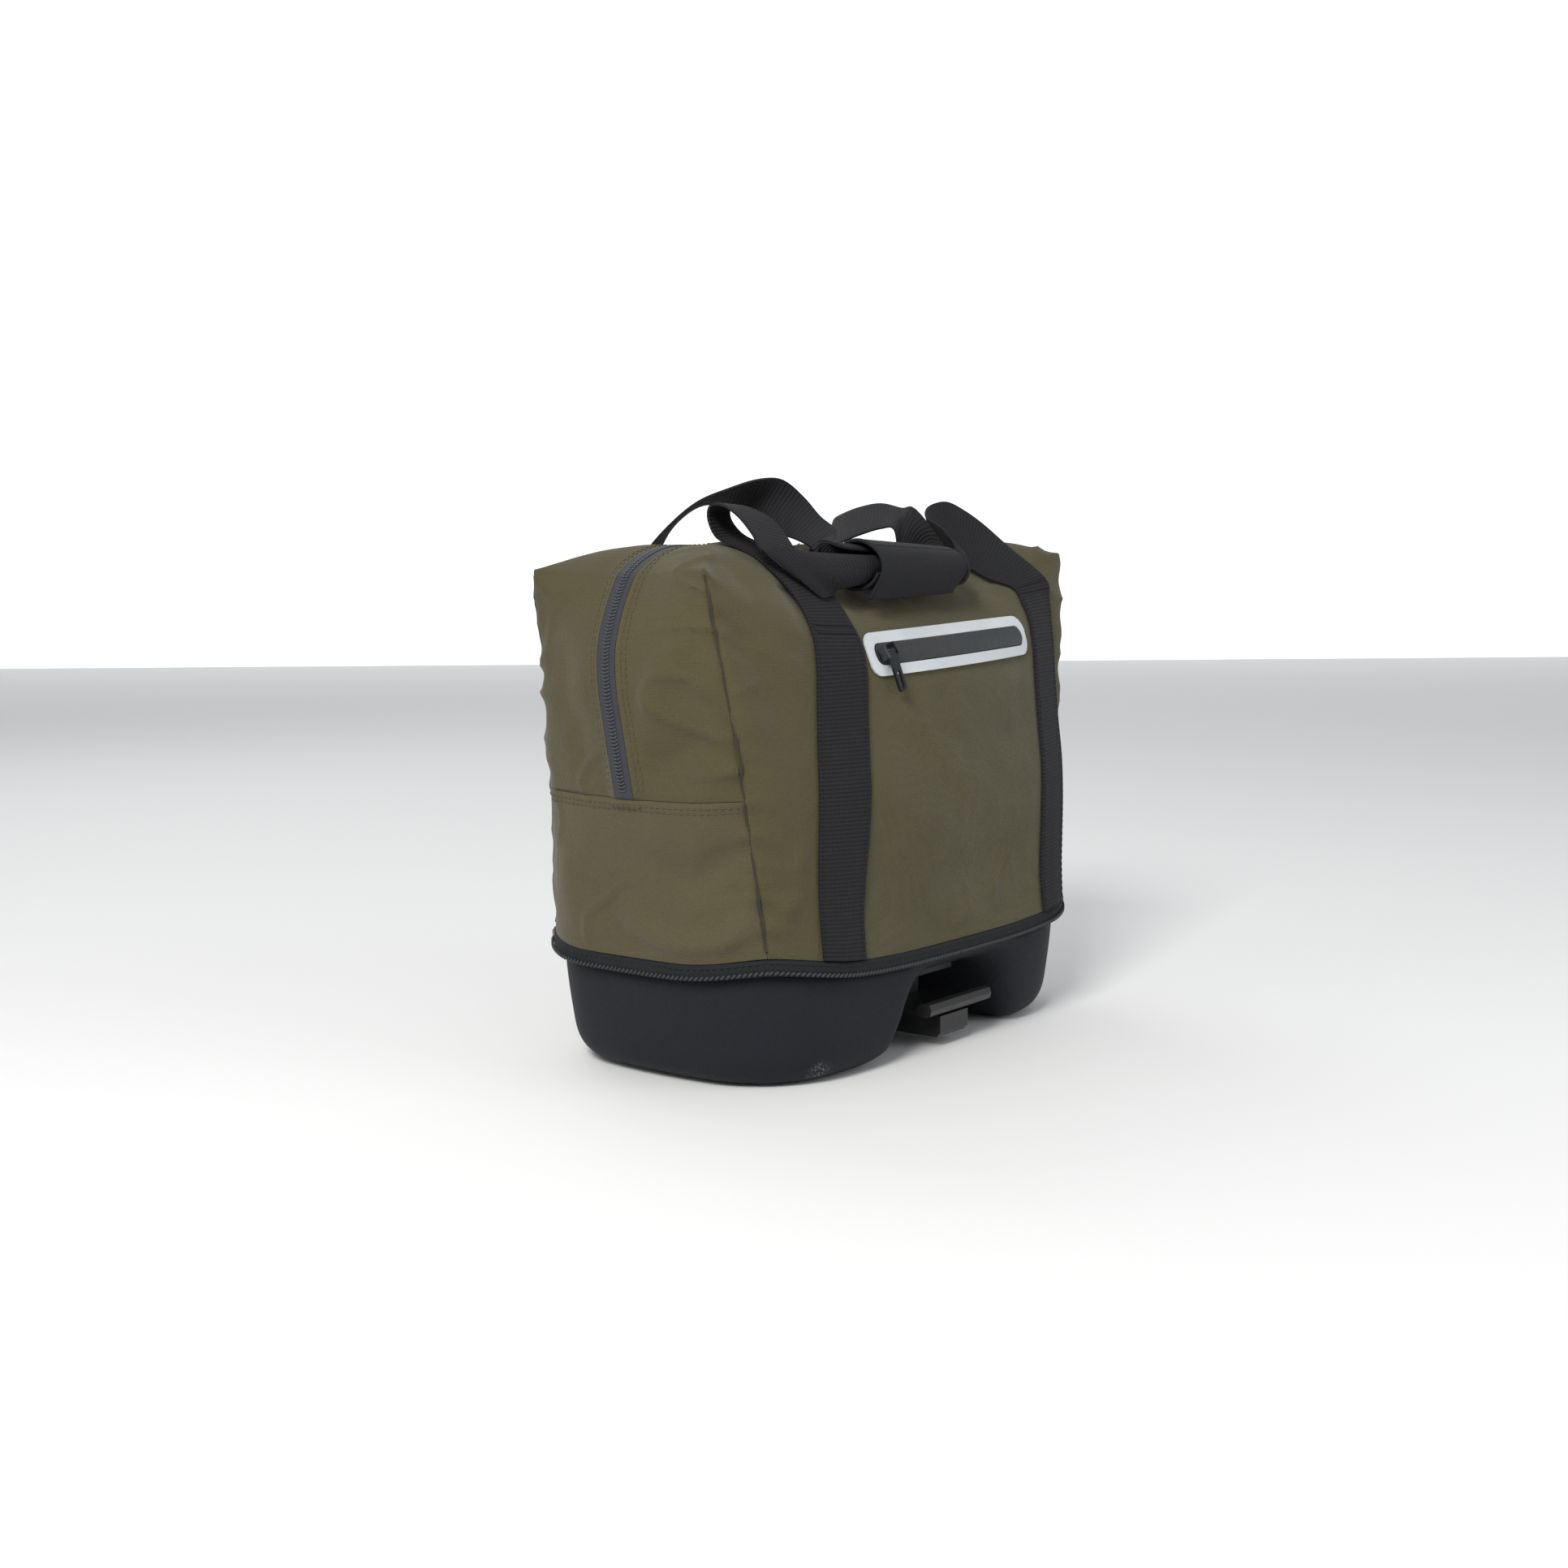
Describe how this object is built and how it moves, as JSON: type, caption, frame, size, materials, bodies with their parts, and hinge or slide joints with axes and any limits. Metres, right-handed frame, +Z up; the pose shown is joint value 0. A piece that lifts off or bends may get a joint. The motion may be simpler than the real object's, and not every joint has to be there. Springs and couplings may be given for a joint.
{
  "type": "bicycle trunk bag",
  "caption": "Boxy fabric bag on a moulded saddle-shaped base that straddles a rack, with a zip over its top, a front pocket and webbing handles joined by a wrap.",
  "frame": {"origin": "centre of the footprint box, on the surface that the bag stands on", "axes": "+X along the bag's width to its right, -Y out of the pocket face, +Z up"},
  "size_m": [0.4108, 0.2272, 0.3599],
  "materials": {
    "front_panel": "woven, matte",
    "back_panel": "woven, matte",
    "side_panel_left": "woven, matte",
    "side_panel_right": "woven, matte",
    "main_zip": "woven, matte",
    "main_zip_slider": "dark gunmetal",
    "base_binding": "woven, matte",
    "molded_base": "matte",
    "front_handle": "woven, matte",
    "back_handle": "woven, matte",
    "handle_grip": "woven, matte",
    "pocket_frame": "matte",
    "pocket_zip": "matte",
    "pocket_slider": "dark gunmetal",
    "pull_tab": "dark gunmetal",
    "adapter_plate": "matte",
    "adapter_block": "matte",
    "release_lever": "satin"
  },
  "bodies": {
    "bag": {"front_panel": "front_panel", "back_panel": "back_panel", "side_panel_left": "side_panel_left", "side_panel_right": "side_panel_right", "main_zip": "main_zip", "main_zip_slider": "main_zip_slider", "base_binding": "base_binding", "molded_base": "molded_base", "front_handle": "front_handle", "back_handle": "back_handle", "handle_grip": "handle_grip", "pocket_frame": "pocket_frame", "pocket_zip": "pocket_zip", "pocket_slider": "pocket_slider", "adapter_plate": "adapter_plate", "adapter_block": "adapter_block"},
    "tab": {"pull_tab": "pull_tab"},
    "lever": {"release_lever": "release_lever"}
  },
  "joints": [
    {"name": "tab_hinge", "type": "hinge", "parent": "bag", "child": "tab", "pos_m": [-0.06524, -0.10306, 0.2562], "axis": [-0.9661, -0.0441, -0.2545], "range_deg": [0, 110]},
    {"name": "lever_hinge", "type": "hinge", "parent": "bag", "child": "lever", "pos_m": [0.01031, -0.062, 0.026], "axis": [-1, 0, 0], "range_deg": [0, 16], "stiffness_Nm_per_rad": 0.05, "springref_deg": -11.46}
  ]
}
